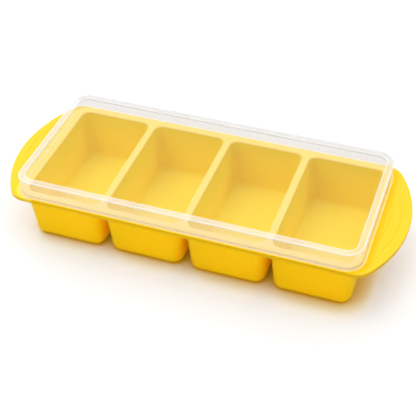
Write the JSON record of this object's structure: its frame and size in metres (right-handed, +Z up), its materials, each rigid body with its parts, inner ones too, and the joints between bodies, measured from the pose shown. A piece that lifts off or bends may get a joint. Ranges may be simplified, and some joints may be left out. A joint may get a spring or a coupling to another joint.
{
  "type": "freezer tray with lid",
  "caption": "Silicone freezer mold for food portions: a row of equal rectangular cups in a flat rim with a D-shaped handle at each end, under a clear plastic lift-off lid.",
  "frame": {"origin": "on the resting surface, under the middle of the row of cups", "axes": "+X along the row of cups towards one handle, +Y across the row, +Z up; the cups open upwards"},
  "size_m": [0.308, 0.12, 0.0573],
  "materials": {
    "silicone": "yellow food-grade silicone, satin, slightly translucent",
    "wire_steel": "drawn stainless steel wire, moulded in",
    "clear_plastic": "clear plastic, glossy with a slight haze"
  },
  "bodies": {
    "tray": {"tray": "silicone", "rim_wire": "wire_steel"},
    "lid": {"lid": "clear_plastic"}
  },
  "joints": [
    {"name": "lid_lift", "type": "slide", "parent": "tray", "child": "lid", "axis": [0, 0, 1], "range_m": [0, 0.08]}
  ]
}
